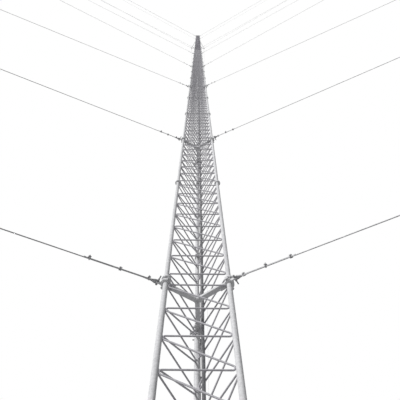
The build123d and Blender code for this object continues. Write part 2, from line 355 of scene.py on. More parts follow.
def buildStainGroup():
    # brown bloom in scattered spots
    tree, given, result = startGroup("rustBloom", [
        ("Color", colourSocket, (0.5, 0.5, 0.5, 1)), ("Grain", floatSocket, 400.0),
        ("Amount", floatSocket, 0.3)], [("Color", colourSocket), ("Mask", floatSocket)])
    where = addNode(tree, "ShaderNodeTexCoord").outputs["Object"]
    spots = addNode(tree, "ShaderNodeTexNoise", {"Vector": where, "Scale": given["Grain"], "Detail": 6.0,
                                                 "Roughness": 0.7})
    mask = addNode(tree, "ShaderNodeMapRange", {"Value": spots.outputs["Fac"], "From Min": 0.58,
                                                "From Max": 0.7})
    share = addNode(tree, "ShaderNodeMath", {0: mask.outputs[0], 1: given["Amount"]}, operation="MULTIPLY")
    colour = addNode(tree, "ShaderNodeMix", {"Factor": share.outputs[0], 6: given["Color"],
                                             7: (0.16, 0.085, 0.045, 1)}, data_type="RGBA")
    tree.links.new(colour.outputs[2], result["Color"])
    tree.links.new(share.outputs[0], result["Mask"])
    return tree


def buildStrandGroup():
    # wires laid round a rope, from the UV: u round it, v along it in metres
    tree, given, result = startGroup("strandLay", [
        ("Strands", floatSocket, 7.0), ("Pitch", floatSocket, 0.009)],
        [("Mask", floatSocket), ("Height", floatSocket)])
    where = addNode(tree, "ShaderNodeTexCoord").outputs["UV"]
    parts = addNode(tree, "ShaderNodeSeparateXYZ", {"Vector": where})
    around = addNode(tree, "ShaderNodeMath", {0: parts.outputs[0], 1: given["Strands"]}, operation="MULTIPLY")
    along = addNode(tree, "ShaderNodeMath", {0: parts.outputs[1], 1: given["Pitch"]}, operation="DIVIDE")
    lay = addNode(tree, "ShaderNodeMath", {0: around.outputs[0], 1: along.outputs[0]}, operation="ADD")
    saw = addNode(tree, "ShaderNodeMath", {0: lay.outputs[0]}, operation="FRACT")
    wave = addNode(tree, "ShaderNodeMath", {0: saw.outputs[0], 1: 0.5}, operation="SUBTRACT")
    bump = addNode(tree, "ShaderNodeMath", {0: wave.outputs[0], 1: wave.outputs[0]}, operation="MULTIPLY")
    # Mask is 1 in the grooves between wires, where the rope material paints shade.
    mask = addNode(tree, "ShaderNodeMapRange", {"Value": bump.outputs[0], "From Min": 0.1, "From Max": 0.25})
    high = addNode(tree, "ShaderNodeMath", {0: 0.25, 1: bump.outputs[0]}, operation="SUBTRACT")
    tree.links.new(mask.outputs[0], result["Mask"])
    tree.links.new(high.outputs[0], result["Height"])
    return tree


def buildConcreteGroup():
    # cloudy cast surface with small holes, darker towards the bottom
    tree, given, result = startGroup("castConcrete", [("Grain", floatSocket, 60.0)],
                                     [("Color", colourSocket), ("Height", floatSocket)])
    where = addNode(tree, "ShaderNodeTexCoord").outputs["Object"]
    cloud = addNode(tree, "ShaderNodeTexNoise", {"Vector": where, "Scale": given["Grain"], "Detail": 8.0,
                                                 "Roughness": 0.65})
    holeGrain = addNode(tree, "ShaderNodeMath", {0: given["Grain"], 1: 9.0}, operation="MULTIPLY")
    holes = addNode(tree, "ShaderNodeTexVoronoi", {"Vector": where, "Scale": holeGrain.outputs[0]})
    hole = addNode(tree, "ShaderNodeMapRange", {"Value": holes.outputs["Distance"], "From Min": 0.12,
                                                "From Max": 0.2})
    foot = addNode(tree, "ShaderNodeSeparateXYZ", {"Vector": where})
    # darker in the lowest part of the block
    lowDarken = addNode(tree, "ShaderNodeMapRange", {"Value": foot.outputs[2], "From Min": 0.0, "From Max": 0.006,
                                                "To Min": 0.35, "To Max": 0.0})
    tone = addNode(tree, "ShaderNodeMath", {0: cloud.outputs["Fac"], 1: lowDarken.outputs[0]}, operation="ADD",
                   use_clamp=True)
    colour = addNode(tree, "ShaderNodeMix", {"Factor": tone.outputs[0], 6: (0.66, 0.65, 0.62, 1),
                                             7: (0.36, 0.35, 0.33, 1)}, data_type="RGBA")
    high = addNode(tree, "ShaderNodeMath", {0: hole.outputs[0], 1: cloud.outputs["Fac"]}, operation="ADD")
    tree.links.new(colour.outputs[2], result["Color"])
    tree.links.new(high.outputs[0], result["Height"])
    return tree


zincSkin = buildZincGroup()
rustBloom = buildStainGroup()
strandLay = buildStrandGroup()
castConcrete = buildConcreteGroup()


def useGroup(tree, group, inputs):
    node = tree.nodes.new("ShaderNodeGroup")
    node.node_tree = group
    for key, value in inputs.items():
        if isinstance(value, bpy.types.NodeSocket):
            tree.links.new(value, node.inputs[key])
        else:
            node.inputs[key].default_value = value
    return node.outputs


def startMaterial(name):
    material = bpy.data.materials.new(name)
    material.use_nodes = True
    tree = material.node_tree
    return material, tree, tree.nodes["Principled BSDF"].inputs


rustGrain = 0.8  # share of the grain of the zinc
zincDepth = 0.00005


def zincMaterial(name, look):
    material, tree, shader = startMaterial(name)
    skin = useGroup(tree, zincSkin, {"Light": (*look["light"], 1), "Dark": (*look["dark"], 1),
                                     "Grain": look["grain"], "Runs": look["runs"]})
    rust = useGroup(tree, rustBloom, {"Color": skin["Color"], "Grain": look["grain"] * rustGrain,
                                      "Amount": look["rust"]})
    bump = addNode(tree, "ShaderNodeBump", {"Height": skin["Height"], "Strength": look["bump"],
                                            "Distance": zincDepth})
    tree.links.new(rust["Color"], shader["Base Color"])
    tree.links.new(skin["Roughness"], shader["Roughness"])
    tree.links.new(bump.outputs[0], shader["Normal"])
    shader["Metallic"].default_value = look["metallic"]
    shader["Specular IOR Level"].default_value = look["gloss"]
    return material


tubeLook = {"light": (0.72, 0.72, 0.73), "dark": (0.5, 0.5, 0.51), "grain": 420.0, "runs": 0.35,
            "rust": 0.03, "bump": 0.15, "metallic": 0.0, "gloss": 0.15}
barLook = {"light": (0.54, 0.53, 0.56), "dark": (0.36, 0.355, 0.375), "grain": 600.0, "runs": 0.2,
           "rust": 0.05, "bump": 0.15, "metallic": 0.0, "gloss": 0.2}
beamLook = {"light": (0.68, 0.68, 0.69), "dark": (0.52, 0.52, 0.53), "grain": 500.0, "runs": 0.2,
            "rust": 0.08, "bump": 0.2, "metallic": 0.0, "gloss": 0.2}
fittingLook = {"light": (0.46, 0.46, 0.47), "dark": (0.28, 0.28, 0.29), "grain": 700.0, "runs": 0.1,
               "rust": 0.12, "bump": 0.2, "metallic": 0.15, "gloss": 0.3}
boltLook = {"light": (0.6, 0.6, 0.61), "dark": (0.36, 0.36, 0.36), "grain": 1500.0, "runs": 0.1,
            "rust": 0.2, "bump": 0.15, "metallic": 0.2, "gloss": 0.4}
tubeZinc = zincMaterial("tubeZinc", tubeLook)
# The flanges take the tube zinc painted paler: painted light that lifts their shaded undersides.
flangePaintedLightZinc = zincMaterial("flangePaintedLightZinc", {**tubeLook, "light": (0.84, 0.84, 0.85),
                                         "dark": (0.66, 0.66, 0.67)})
barZinc = zincMaterial("barZinc", barLook)
highBarZinc = zincMaterial("highBarZinc", {**barLook, "light": (0.34, 0.33, 0.36),
                                           "dark": (0.21, 0.2, 0.23)})
beamZinc = zincMaterial("beamZinc", beamLook)
fittingZinc = zincMaterial("fittingZinc", fittingLook)
boltZinc = zincMaterial("boltZinc", boltLook)


# The wire colour is darkened in the grooves between strands: painted shade.
wireLook = {"lay": {"Strands": 7.0, "Pitch": 0.009}, "grooveShade": (0.16, 0.16, 0.16, 1), "metallic": 0.25,
            "skin": {"Light": (0.5, 0.5, 0.51, 1), "Dark": (0.34, 0.34, 0.35, 1), "Grain": 300.0, "Runs": 0.0},
            "bump": {"Strength": 0.8, "Distance": 0.0002}}
sheathLook = {"skin": {"Light": (0.2, 0.2, 0.21, 1), "Dark": (0.12, 0.12, 0.13, 1), "Grain": 240.0,
                       "Runs": 0.6},
              "bump": {"Strength": 0.1, "Distance": zincDepth}}
castLook = {"cast": {"Grain": 60.0}, "bump": {"Strength": 0.5, "Distance": 0.0002}, "roughness": 0.9}


def ropeMaterial():
    material, tree, shader = startMaterial("ropeWire")
    lay = useGroup(tree, strandLay, wireLook["lay"])
    skin = useGroup(tree, zincSkin, wireLook["skin"])
    # painted shade: the dark groove colour is mixed in where the lay mask marks the grooves
    colour = addNode(tree, "ShaderNodeMix", {"Factor": lay["Mask"], 6: skin["Color"], 7: wireLook["grooveShade"]},
                     data_type="RGBA")
    bump = addNode(tree, "ShaderNodeBump", {"Height": lay["Height"], **wireLook["bump"]})
    tree.links.new(colour.outputs[2], shader["Base Color"])
    tree.links.new(skin["Roughness"], shader["Roughness"])
    tree.links.new(bump.outputs[0], shader["Normal"])
    shader["Metallic"].default_value = wireLook["metallic"]
    return material


def sheathMaterial():
    material, tree, shader = startMaterial("cableSheath")
    skin = useGroup(tree, zincSkin, sheathLook["skin"])
    bump = addNode(tree, "ShaderNodeBump", {"Height": skin["Height"], **sheathLook["bump"]})
    tree.links.new(skin["Color"], shader["Base Color"])
    tree.links.new(skin["Roughness"], shader["Roughness"])
    tree.links.new(bump.outputs[0], shader["Normal"])
    return material


def concreteMaterial():
    material, tree, shader = startMaterial("castBlock")
    cast = useGroup(tree, castConcrete, castLook["cast"])
    bump = addNode(tree, "ShaderNodeBump", {"Height": cast["Height"], **castLook["bump"]})
    tree.links.new(cast["Color"], shader["Base Color"])
    tree.links.new(bump.outputs[0], shader["Normal"])
    shader["Roughness"].default_value = castLook["roughness"]
    return material


ropeWire = ropeMaterial()
cableSheath = sheathMaterial()
castBlock = concreteMaterial()
print("materials built")

# CAD nodes that stay: they only take a finish
finishOf = {"concrete_pier": castBlock, "base_plate": tubeZinc, "top_plate": tubeZinc,
            "star_frames": beamZinc, "torque_frame": beamZinc, "leg_collars": tubeZinc,
            "cable_clamps": fittingZinc}
for name in legNames:
    finishOf[name + "_leg_base"] = tubeZinc
    finishOf[name + "_leg_shaft"] = tubeZinc
for ring in ringLevels:
    finishOf[ring + "_fan_plates"] = fittingZinc
    finishOf[ring + "_anchor_rods"] = fittingZinc
    finishOf[ring + "_anchor_blocks"] = castBlock
for name, material in finishOf.items():
    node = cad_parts[name]
    node.data.materials.clear()
    node.data.materials.append(material)
print("finished", len(finishOf), "nodes of the frame")

# Zigzag bars: one bent round bar to each section of each face
# In "detail": the section that it ends at, sides of the bar, steps of a bend
halfway = sectionCount // 2
braceLook = {"bar": 6.5 * mm, "bays": 7, "bay": 398 * mm, "gap": 42 * mm, "bend": 17 * mm, "seat": 0.7,
             "detail": ((6, 10, 4), (halfway, 8, 3), (sectionCount, 6, 2)),
             "finish": {"lower": barZinc, "upper": highBarZinc}, "slot": "galvanised_bar", "sharp": 70}


def zigzag(face, section):
    start, end = (legAt[n] for n in faces[face])
    along = (end - start).normalized()
    legSize = baseLegRadius if section < baseSections else legRadius["west"]
    reach = faceWidth / 2 - legSize - braceLook["bar"] * braceLook["seat"]
    middle = (start + end) / 2 + up * jointZ(section)
    first = (sectionHeight - braceLook["bays"] * braceLook["bay"]) / 2
    line = [(reach, first)]
    for bay in range(braceLook["bays"] + 1):
        rung = first + bay * braceLook["bay"]
        line.append((-reach, rung))
        if bay < braceLook["bays"]:
            line.append((-reach, rung + braceLook["gap"]))
            line.append((reach, rung + braceLook["bay"] - braceLook["gap"]))
            line.append((reach, rung + braceLook["bay"]))
    return [middle + along * x + up * z for x, z in line]


for face in faces:
    for part, first, last in (("lower", 0, halfway), ("upper", halfway, sectionCount)):
        bm = bmesh.new()
        for section in range(first, last):
            sides, steps = next(detail[1:] for detail in braceLook["detail"] if section < detail[0])
            sweep(bm, rounded(zigzag(face, section), braceLook["bend"], steps), braceLook["bar"], sides)
        piece(bm, {**braceLook, "name": face + "_bars_" + part, "replaces": [face + "_" + part + "_bracing"],
                   "material": braceLook["finish"][part]})

# Joint flanges: two discs with a seam, bolts round them and fins on the tube
flangeLook = {"name": "flange_pairs", "radius": 38 * mm, "thick": 11.2 * mm, "seam": 0.8 * mm,
              "edge": 1.5 * mm, "count": 4, "boltCircle": 29.5 * mm, "bolt": 4.5 * mm, "boltTail": 12 * mm,
              "fin": 12 * mm, "finTall": 26 * mm, "finHalf": 1.6 * mm, "finSink": 0.97,
              "fineJoints": 8, "fineSides": 32, "sides": 20,
              "material": flangePaintedLightZinc, "slot": "galvanised_tube", "replaces": ["joint_flanges"]}
boltsLook = {"name": "flange_bolts", "material": boltZinc, "slot": "fitting_steel"}
wide, thick, seam, edge = (flangeLook[k] for k in ("radius", "thick", "seam", "edge"))
flangeDisc = [(0, 0), (wide - edge, 0), (wide, edge), (wide, thick - edge), (wide - edge, thick), (0, thick)]


def fin(bm, place, near, sign):
    # triangular web between the tube and the face of its flange
    inner, outer = near * flangeLook["finSink"], near + flangeLook["fin"]
    foot = (seam + thick) * sign
    rows = []
    for y in (-flangeLook["finHalf"], flangeLook["finHalf"]):
        corners = ((inner, y, foot), (outer, y, foot), (inner, y, foot + sign * flangeLook["finTall"]))
        rows.append([bm.verts.new(place @ Vector(p)) for p in corners])
    front, back = rows if sign > 0 else rows[::-1]
    bm.faces.new(front)
    bm.faces.new(back[::-1])
    for i in range(3):
        j = (i + 1) % 3
        bm.faces.new((front[j], front[i], back[i], back[j]))


bm, bolts = bmesh.new(), bmesh.new()
for joint in range(sectionCount + 1):
    sides = flangeLook["fineSides"] if joint < flangeLook["fineJoints"] else flangeLook["sides"]
    halves = [sign for sign, there in ((-1, joint > 0), (1, joint < sectionCount)) if there]
    for name in legNames:
        place = placeAt(legAt[name] + up * jointZ(joint), up, outwardOf(name))
        near = baseLegRadius if joint <= baseSections else legRadius[name]
        for sign in halves:
            low = seam if sign > 0 else -seam - thick
            turned(bm, flangeDisc, place @ Matrix.Translation((0, 0, low)), sides)
        for k in range(flangeLook["count"]):
            a = math.pi * (2 * k + 1) / flangeLook["count"]
            spoke = Vector((math.cos(a), math.sin(a), 0)) * flangeLook["boltCircle"]
            if len(halves) == 2:
                bolt(bolts, place @ Matrix.Translation(spoke), flangeLook["bolt"], 2 * (thick + seam),
                     flangeLook["boltTail"])
            for sign in halves:
                fin(bm, place @ Matrix.Rotation(a + math.pi / flangeLook["count"], 4, "Z"), near, sign)
piece(bm, flangeLook)
piece(bolts, boltsLook)

# Clamp ears and bolts on the collars
clampLook = {"name": "collar_clamps", "ear": (22 * mm, 26 * mm, 7 * mm), "chamfer": 1 * mm, "reach": 46 * mm,
             "gap": 5 * mm, "bolt": 4.5 * mm, "boltReach": 51 * mm, "grip": 17 * mm, "boltTail": 10 * mm,
             "material": tubeZinc, "slot": "fitting_steel"}
clampBoltLook = {"name": "collar_bolts", "material": boltZinc, "slot": "fitting_steel"}
quarter = Matrix.Rotation(math.pi / 2, 4, "X")
ears, bolts = bmesh.new(), bmesh.new()
for centre in collars:
    name = nearestLeg(centre)
    origin = Vector((legAt[name].x, legAt[name].y, min(starHeights, key=lambda z: abs(z - centre.z))))
    place = placeAt(origin, up, outwardOf(name))
    for turn in (-1, 1):
        spot = place @ Matrix.Rotation(turn * math.pi / 2, 4, "Z")
        for half in (-1, 1):
            ear = spot @ Matrix.Translation((clampLook["reach"], half * clampLook["gap"], 0))
            block(ears, ear @ quarter, clampLook["ear"], clampLook["chamfer"])
        across = spot @ Matrix.Translation((clampLook["boltReach"], 0, 0)) @ quarter
        bolt(bolts, across, clampLook["bolt"], clampLook["grip"], clampLook["boltTail"])
piece(ears, clampLook)

# Star frames: cover plates under and over the hub, and cleats where the arms meet the collars
starLook = {"name": "star_plates", "hub": 24 * mm, "plate": 6 * mm, "rim": 2 * mm, "armHigh": 15 * mm,
            "cleat": (44 * mm, 26 * mm, 5 * mm), "cleatIn": 62 * mm, "cleatHigh": 18 * mm, "chamfer": 1 * mm,
            "boltStep": 14 * mm, "bolt": (7 * mm, 5 * mm), "hubBolt": (9 * mm, 7 * mm), "armEnd": 20 * mm,
            "material": beamZinc, "slot": "weathered_steel_beam"}
hub, plate, rim = (starLook[k] for k in ("hub", "plate", "rim"))
hubDisc = [(0, 0), (hub, 0), (hub, plate - rim), (hub - rim, plate), (0, plate)]
armWay = {}
star = solidsOf("star_frames")[0]  # the arms of every star point the same ways
for name in legNames:
    out = outwardOf(name)
    far = max(p.dot(out) for p in star)
    end = middleOf([p for p in star if p.dot(out) > far - starLook["armEnd"]])
    armWay[name] = Vector((end.x, end.y, 0)).normalized()
bm = bmesh.new()
for z in starHeights:
    for sign in (-1, 1):
        place = placeAt(up * (z + sign * starLook["armHigh"]), up * sign, outwardOf("north"))
        turned(bm, hubDisc, place, sides=20)
        hexHead(bolts, place @ Matrix.Translation((0, 0, plate)), *starLook["hubBolt"])
    for name in legNames:
        way = armWay[name]
        hold = legAt[name] - way * starLook["cleatIn"]
        for sign in (-1, 1):
            place = placeAt(Vector((hold.x, hold.y, z + sign * starLook["cleatHigh"])), up, way)
            block(bm, place, starLook["cleat"], starLook["chamfer"])
            for k in (-1, 1):
                spot = place @ Matrix.Translation((k * starLook["boltStep"], 0, 0))
                if sign < 0:
                    spot = spot @ Matrix.Rotation(math.pi, 4, "X")
                hexHead(bolts, spot @ Matrix.Translation((0, 0, starLook["cleat"][2] / 2)), *starLook["bolt"])
piece(bm, starLook)
piece(bolts, clampBoltLook)

# Shackles between the lugs and the guys: two limbs, a tapering crown and a long pin through the lug
shackleLook = {"name": "bow_shackles", "rod": 6.5 * mm, "half": 12.5 * mm, "limb": (-6 * mm, 30 * mm),
               "crown": ((22, 16), (32, 15), (68, 6), (78, 5)),  # millimetres from the pin, half width
               "crownHalf": 8 * mm, "chamfer": 3 * mm, "nut": (10 * mm, 8 * mm),
               "pin": 5.5 * mm, "pinEnds": (30 * mm, 58 * mm), "material": fittingZinc,
               "slot": "fitting_steel", "replaces": ["mast_shackles"], "sharp": 60}
crown = [(x * mm, -y * mm) for x, y in shackleLook["crown"]]
crown += [(x, -y) for x, y in reversed(crown)]
bm = bmesh.new()
for guy in guys:
    eye, down, side = guy["eye"], guy["way"] * -1, guy["side"]
    half, rod = shackleLook["half"], shackleLook["rod"]
    for sign in (-1, 1):
        sweep(bm, [eye + side * sign * half + down * gone for gone in shackleLook["limb"]], rod, sides=10)
        hexHead(bm, placeAt(eye + side * sign * (half + rod), side * sign, up), *shackleLook["nut"])
    thick = shackleLook["crownHalf"]
    slab(bm, crown, -thick, thick, placeAt(eye, down.cross(side), down), shackleLook["chamfer"])
    short, long = shackleLook["pinEnds"]
    sweep(bm, [eye - side * short, eye + side * long], shackleLook["pin"], sides=8)
piece(bm, shackleLook)

# Guys: rope, thimble, turned-back tail and clips
ropeLook = {"rope": 4.5 * mm, "steps": 24, "inset": 60 * mm, "loop": (14 * mm, 9.5 * mm), "loopAt": 4 * mm,
            "loopTurn": 0.31, "tailFrom": 62 * mm, "tailMid": 300 * mm, "tailPast": 33 * mm, "tailLift": 2.1,
            "material": ropeWire, "slot": "guy_rope", "sharp": 70}
thimbleLook = {"name": "thimbles", "rod": 3.4 * mm, "loop": (7 * mm, 3.6 * mm), "loopTurn": 0.35,
               "legs": 40 * mm, "gap": 3 * mm, "cap": 6 * mm, "capSize": 1.25,
               "material": fittingZinc, "slot": "fitting_steel", "sharp": 50}
clipLook = {"name": "rope_clips", "rod": 3.2 * mm, "half": 9.5 * mm, "dip": 2 * mm, "deep": 10 * mm,
            "tall": 30 * mm, "nutHigh": 17 * mm, "nut": (7 * mm, 6 * mm), "back": 5 * mm, "roll": 0.5,
            "saddle": (22 * mm, 30 * mm, 9 * mm), "saddleHigh": 12.5 * mm, "chamfer": 1.5 * mm,
            "material": fittingZinc, "slot": "fitting_steel", "sharp": 50}
# Clips, in millimetres from the rope's end: on the lowest guys by leg, on the others, and at every foot
clipPlaces = {"west": (6, 255, 519), "east": (6, 209, 424), "north": (6, 240, 480), "above": (6, 190, 350),
              "foot": (80, 310, 545)}
clips, thimbles = bmesh.new(), bmesh.new()


def clip(base, way, out, across):
    # a bent rod round both ropes, its saddle and two nuts
    base = base - way * clipLook["back"]
    half = across * clipLook["half"]
    hoop = [base + out * clipLook["tall"] + half]
    hoop += arc(base - out * clipLook["dip"], half, out * -clipLook["deep"], 0, 0.5, steps=6)
    hoop.append(base + out * clipLook["tall"] - half)
    sweep(clips, hoop, clipLook["rod"], sides=6)
    for sign in (-1, 1):
        hexHead(clips, placeAt(base + out * clipLook["nutHigh"] + half * sign, out, way), *clipLook["nut"])
    saddle = placeAt(base + out * clipLook["saddleHigh"], out, way)
    block(clips, saddle, clipLook["saddle"], clipLook["chamfer"])


def ropeEnd(rope, at, way, side, places):
    # a loop round a thimble at one end of a guy; the tail lies on top of the rope
    rise = side.cross(way).normalized()
    if rise.z < 0:
        rise = rise * -1
    size = ropeLook["rope"]
    places = [gone * mm for gone in places]
    long, wide = ropeLook["loop"]
    bend = at + way * ropeLook["loopAt"]
    tail = at + rise * (ropeLook["tailLift"] * size)
    last = places[-1] + ropeLook["tailPast"]
    opened = ropeLook["loopTurn"]
    loop = [at + way * ropeLook["tailFrom"]] + arc(bend, way * -long, rise * wide, -opened, opened, steps=10)
    loop += [tail + way * gone for gone in (ropeLook["tailFrom"], ropeLook["tailMid"], last)]
    sweep(rope, loop, size, sides=7)
    long, wide = thimbleLook["loop"]
    leg = at + way * thimbleLook["legs"]
    opened = thimbleLook["loopTurn"]
    ring = arc(bend, way * -long, rise * wide, -opened, opened, steps=12)
    sweep(thimbles, [leg] + ring + [leg + rise * thimbleLook["gap"]], thimbleLook["rod"], sides=7)
    cap = [tail + way * (last + sign * thimbleLook["cap"]) for sign in (-1, 1)]
    sweep(thimbles, cap, size * thimbleLook["capSize"], sides=8)
    for number, gone in enumerate(places):
        roll = Matrix.Rotation((number % 2 - 0.5) * clipLook["roll"], 3, way)
        clip(at + way * gone + rise * size, way, roll @ rise, roll @ side)


for level in range(1, levelCount + 1):
    rope = bmesh.new()
    for guy in guys:
        if guy["level"] != level:
            continue
        down = guy["way"] * -1
        span = (guy["foot"] - guy["head"]).length - 2 * ropeLook["inset"]
        start = guy["head"] + down * ropeLook["inset"]
        steps = ropeLook["steps"]
        sweep(rope, [start + down * span * i / steps for i in range(steps + 1)], ropeLook["rope"], sides=7)
        headClips = clipPlaces[guy["leg"] if level == 1 else "above"]
        ropeEnd(rope, guy["head"], down, guy["side"], headClips)
        ropeEnd(rope, guy["foot"], guy["way"], guy["side"], clipPlaces["foot"])
    piece(rope, {**ropeLook, "name": "guy_ropes_%d" % level, "replaces": ["guys_level_%d" % level]})
piece(clips, clipLook)
piece(thimbles, thimbleLook)

# Turnbuckles: jaw, threaded rods, an open body of two side bars, and an eye for the rope
turnLook = {"cheek": (78 * mm, 30 * mm, 5.6 * mm), "cheekOut": 11.5 * mm, "cheekAt": 22 * mm,
            "cheekChamfer": 1.2 * mm, "bridge": (28.6 * mm, 30 * mm, 16 * mm), "bridgeAt": 66 * mm,
            "bridgeChamfer": 2 * mm, "pin": 8 * mm, "pinGrip": 29 * mm, "pinTail": 14 * mm,
            "rod": 8.5 * mm, "rodFrom": 70 * mm, "rodTo": 580 * mm, "rodIn": 70 * mm,
            "lockNut": (15 * mm, 12 * mm), "bodyFrom": 186 * mm, "bodyLong": 310 * mm,
            "boss": ((0, 0), (15, 0), (18, 4), (18, 30), (15, 34), (0, 34)),  # millimetres: radius, height
            "bar": 6.5 * mm, "barIn": 14 * mm, "barBend": 44 * mm, "barEnd": 10 * mm, "spread": 15 * mm,
            "bend": 20 * mm, "eyeAt": 600 * mm, "eye": (19 * mm, 15 * mm), "eyeRod": 6 * mm,
            "material": fittingZinc, "slot": "fitting_steel", "sharp": 50}
boss = [(x * mm, z * mm) for x, z in turnLook["boss"]]
for ring, levels in ringLevels.items():
    bm = bmesh.new()
    for guy in guys:
        if guy["level"] not in levels:
            continue
        way, side, hole = guy["way"], guy["side"], guy["hole"]
        other = side.cross(way).normalized()
        for sign in (-1, 1):
            cheek = hole + side * sign * turnLook["cheekOut"] + way * turnLook["cheekAt"]
            block(bm, placeAt(cheek, side, way), turnLook["cheek"], turnLook["cheekChamfer"])
        bridge = placeAt(hole + way * turnLook["bridgeAt"], way, side)
        block(bm, bridge, turnLook["bridge"], turnLook["bridgeChamfer"])
        bolt(bm, placeAt(hole, side, way), turnLook["pin"], turnLook["pinGrip"], turnLook["pinTail"])
        start, end = turnLook["bodyFrom"], turnLook["bodyFrom"] + turnLook["bodyLong"]
        into = turnLook["rodIn"]
        for near, far in ((turnLook["rodFrom"], start + into), (end - into, turnLook["rodTo"])):
            sweep(bm, [hole + way * near, hole + way * far], turnLook["rod"], sides=10)
        for foot in (start, end - boss[-1][1]):
            turned(bm, boss, placeAt(hole + way * foot, way, side), sides=14)
        inset, bend, narrow, spread = (turnLook[k] for k in ("barIn", "barBend", "barEnd", "spread"))
        barLine = ((start + inset, narrow), (start + bend, spread), (end - bend, spread), (end - inset, narrow))
        for sign in (-1, 1):
            bar = [hole + way * gone + other * sign * out for gone, out in barLine]
            sweep(bm, rounded(bar, turnLook["bend"], steps=3), turnLook["bar"], sides=8)
        nutLong = turnLook["lockNut"][1]
        hexHead(bm, placeAt(hole + way * (start - nutLong), way, side), *turnLook["lockNut"])
        long, wide = turnLook["eye"]
        eye = arc(hole + way * turnLook["eyeAt"], way * -long, side * wide, 0, 1, steps=14)
        sweep(bm, eye, turnLook["eyeRod"], sides=8)
    piece(bm, {**turnLook, "name": ring + "_open_turnbuckles", "replaces": [ring + "_turnbuckles"]})

# Anchors: cheeks and a sleeve at the head of each rod, and a washer plate with nuts on each block
headLook = {"name": "anchor_hardware", "washer": (170 * mm, 120 * mm, 6 * mm), "chamfer": 1 * mm,
            "nutAt": (62 * mm, 42 * mm), "nut": (10 * mm, 9 * mm), "sleeve": 23 * mm,
            "sleeveEnds": (60 * mm, 6 * mm), "cheek": (70 * mm, 34 * mm, 5 * mm), "cheekOut": 11 * mm,
            "cheekAt": 2 * mm, "material": fittingZinc, "slot": "fitting_steel"}
bm = bmesh.new()
for ring in ringLevels:
    for points in solidsOf(ring + "_anchor_rods"):
        foot, head = endsOf(points)
        way = (head - foot).normalized()
        flat = Vector((way.x, way.y, 0)).normalized()
        across = flat.cross(up)
        thick = headLook["washer"][2]
        block(bm, placeAt(foot + up * (thick / 2), up, flat), headLook["washer"], headLook["chamfer"])
        for k in (-1, 1):
            for m in (-1, 1):
                spot = foot + flat * headLook["nutAt"][0] * k + across * headLook["nutAt"][1] * m + up * thick
                hexHead(bm, placeAt(spot, up, flat), *headLook["nut"])
        sweep(bm, [head - way * gone for gone in headLook["sleeveEnds"]], headLook["sleeve"], sides=14)
        for sign in (-1, 1):
            cheek = head + across.normalized() * sign * headLook["cheekOut"] + way * headLook["cheekAt"]
            block(bm, placeAt(cheek, across, way), headLook["cheek"], headLook["chamfer"])
piece(bm, headLook)

# Feeder cable, a little wavy between its clamps
cableLook = {"name": "feeder_run", "wave": 2.2 * mm, "rates": (61, 47), "steps": 10, "ease": 6,
             "material": cableSheath, "slot": "cable_sheath", "replaces": ["feeder_cable"], "sharp": 70}
low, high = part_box("feeder_cable")
cableAt = Vector(((low.x + high.x) / 2, (low.y + high.y) / 2, 0))
cableRadius = (high.x - low.x) / 2
line = []
count = sectionCount * cableLook["steps"]
for i in range(count + 1):
    z = low.z + (high.z - low.z) * i / count
    ease = min(1, i / cableLook["ease"], (count - i) / cableLook["ease"])
    held = abs(math.sin(math.pi * (z - jointZ(0) - sectionHeight / 2) / sectionHeight))
    sway = cableLook["wave"] * ease * held
    line.append(cableAt + Vector((math.sin(z * cableLook["rates"][0]) * sway,
                                  math.cos(z * cableLook["rates"][1]) * sway, z)))
bm = bmesh.new()
sweep(bm, line, cableRadius, sides=8)
piece(bm, cableLook)

# Hangers: a sleeve on the cable, and a bar held to the north leg by two bent rods
hangerLook = {"name": "cable_hangers", "sleeve": 4 * mm, "sleeveHalf": 12 * mm, "hoopHigh": 14 * mm,
              "hoopGap": 3 * mm, "hoopEnd": 44 * mm, "rod": 3.5 * mm, "barOut": 12 * mm, "barPast": 34 * mm,
              "barTall": 44 * mm, "barThick": 6 * mm, "chamfer": 1 * mm, "nutOut": 3 * mm,
              "nut": (7 * mm, 6 * mm), "material": fittingZinc, "slot": "fitting_steel", "sharp": 50}
near, far = cableRadius, cableRadius + hangerLook["sleeve"]
tall = hangerLook["sleeveHalf"]
sleeve = [(near, -tall), (far, -tall), (far, tall), (near, tall), (near, -tall)]
toCable = (cableAt - legAt["north"]).normalized()
across = toCable.cross(up)
bm = bmesh.new()
for section in range(sectionCount):
    z = jointZ(section) + sectionHeight / 2
    size = baseLegRadius if section < baseSections else legRadius["north"]
    turned(bm, sleeve, placeAt(cableAt + up * z, up, Vector((1, 0, 0))), sides=12)
    reach = size + hangerLook["hoopGap"]
    bar = legAt["north"] + toCable * (size + hangerLook["barOut"]) + up * z
    for lift in (-hangerLook["hoopHigh"], hangerLook["hoopHigh"]):
        hoop = arc(legAt["north"] + up * (z + lift), toCable * reach, across * reach, 0.25, 0.75, steps=14)
        ends = [hoop[k] + toCable * hangerLook["hoopEnd"] for k in (0, -1)]
        sweep(bm, ends[:1] + hoop + ends[1:], hangerLook["rod"], sides=6)
    barSize = (2 * size + hangerLook["barPast"], hangerLook["barTall"], hangerLook["barThick"])
    block(bm, placeAt(bar, toCable, across), barSize, hangerLook["chamfer"])
    for sign in (-1, 1):
        for lift in (-hangerLook["hoopHigh"], hangerLook["hoopHigh"]):
            nut = bar + across * sign * reach + up * lift + toCable * hangerLook["nutOut"]
            hexHead(bm, placeAt(nut, toCable, up), *hangerLook["nut"])
piece(bm, hangerLook)

